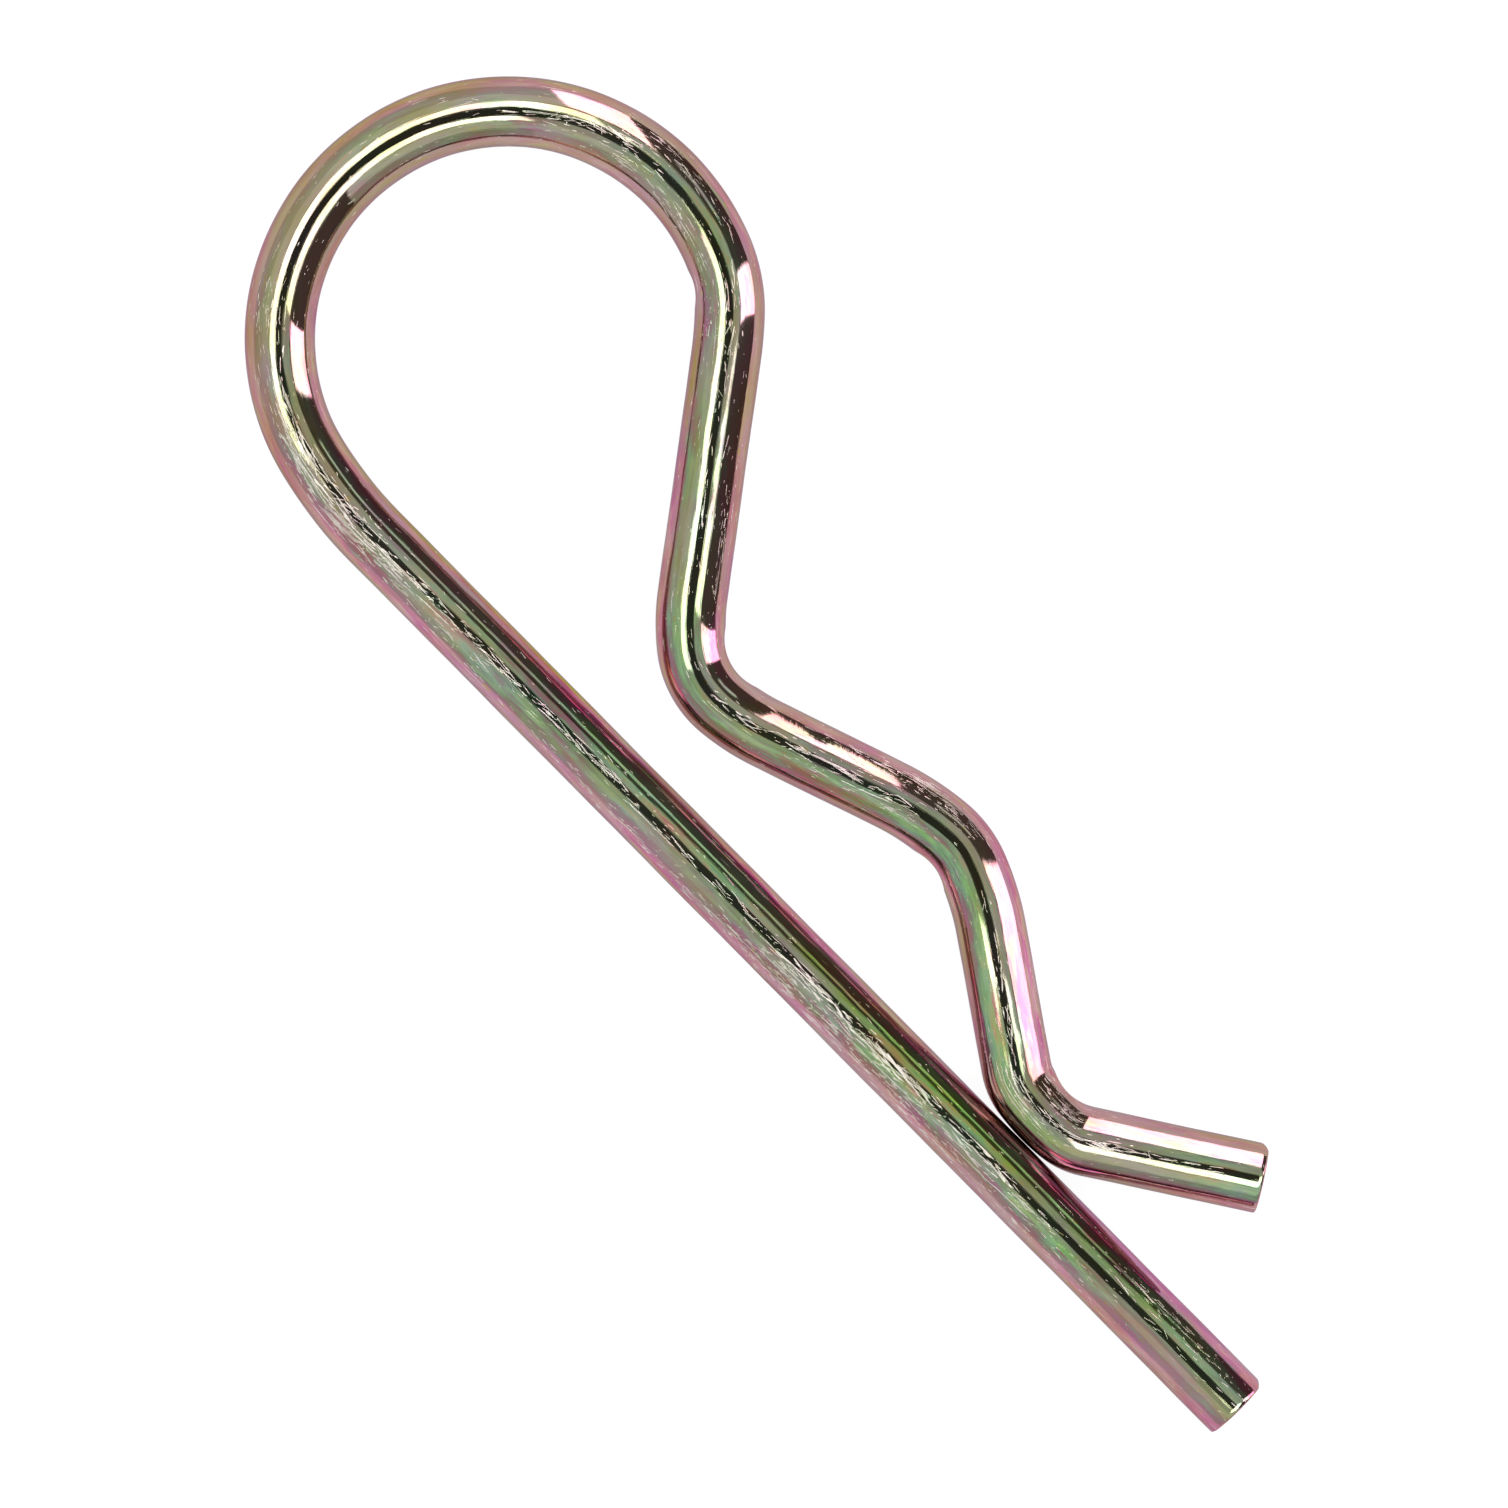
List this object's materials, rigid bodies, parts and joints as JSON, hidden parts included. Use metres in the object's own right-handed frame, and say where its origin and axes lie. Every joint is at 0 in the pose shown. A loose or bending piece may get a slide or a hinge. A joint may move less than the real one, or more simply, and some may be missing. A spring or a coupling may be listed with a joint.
{
  "type": "hitch r clip",
  "caption": "One-piece bent wire R clip: a straight leg, a round eye and a waved arm with a pin seat, a waist, a mouth and a flared end, for locking a hitch pin.",
  "frame": {"origin": "on the centreline of the straight leg, beside the middle of the pin seat", "axes": "+X along the leg to its free end, +Y from the leg to the waved arm, +Z square to the plane of the wire"},
  "size_m": [0.0872, 0.0302, 0.004],
  "materials": {
    "plated_wire": "drawn spring steel wire, bright zinc plated with an iridescent yellow chromate passivation"
  },
  "bodies": {
    "root": {"clip": "plated_wire"}
  },
  "joints": []
}
